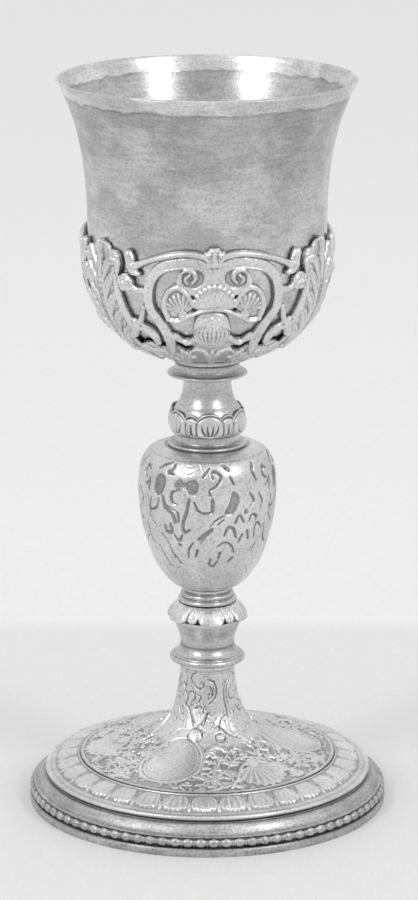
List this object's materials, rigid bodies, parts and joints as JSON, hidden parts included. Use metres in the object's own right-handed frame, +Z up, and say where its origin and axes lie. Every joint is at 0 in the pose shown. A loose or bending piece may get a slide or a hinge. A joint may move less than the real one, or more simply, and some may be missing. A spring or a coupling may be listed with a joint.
{
  "type": "standing cup",
  "caption": "Silver liturgical standing cup: bell bowl in an openwork scroll basket on a short neck, urn knop and round domed foot, held together by a rod and nut.",
  "frame": {"origin": "centre of the base flange's underside, on the table", "axes": "+Z up through the stem to the lip, -Y towards the viewer"},
  "size_m": [0.1176, 0.1176, 0.24],
  "materials": {
    "cup_silver": "worn, softly polished silver",
    "cast_silver": "cast and chased silver, dark in the recesses",
    "turned_silver": "turned silver, satin",
    "engraved_silver": "engraved silver with a matted ground",
    "brazed_metal": "dull, unpolished",
    "rod_steel": "dark, oiled"
  },
  "bodies": {
    "root": {"cup": "cup_silver", "bowl_boss": "brazed_metal", "tie_rod": "rod_steel", "calyx": "cast_silver", "calyx_base_ring": "turned_silver", "drip_flange": "turned_silver", "neck": "turned_silver", "upper_leaf_ring": "cast_silver", "knop_collar": "turned_silver", "knop": "engraved_silver", "knop_base_rings": "turned_silver", "leaf_skirt": "cast_silver", "lower_spool": "turned_silver", "stem_flange": "turned_silver", "foot": "engraved_silver", "bearing_plate": "brazed_metal", "rim_wall": "turned_silver", "cavetto_moulding": "turned_silver", "egg_and_dart_wire": "cast_silver", "base_flange": "turned_silver"},
    "washer": {"clamp_washer": "brazed_metal"},
    "nut": {"clamp_nut": "rod_steel"}
  },
  "joints": [
    {"name": "washer_slide", "type": "slide", "parent": "root", "child": "washer", "axis": [0, 0, -1], "range_m": [0, 0.008]},
    {"name": "nut_turn", "type": "hinge", "parent": "washer", "child": "nut", "pos_m": [0, 0, 0.039], "axis": [0, 0, -1], "range_deg": [0, 2880]}
  ],
  "couplings": [
    {"joint": "washer_slide", "follows": "nut_turn", "m_per_rad": 0.00015915}
  ]
}
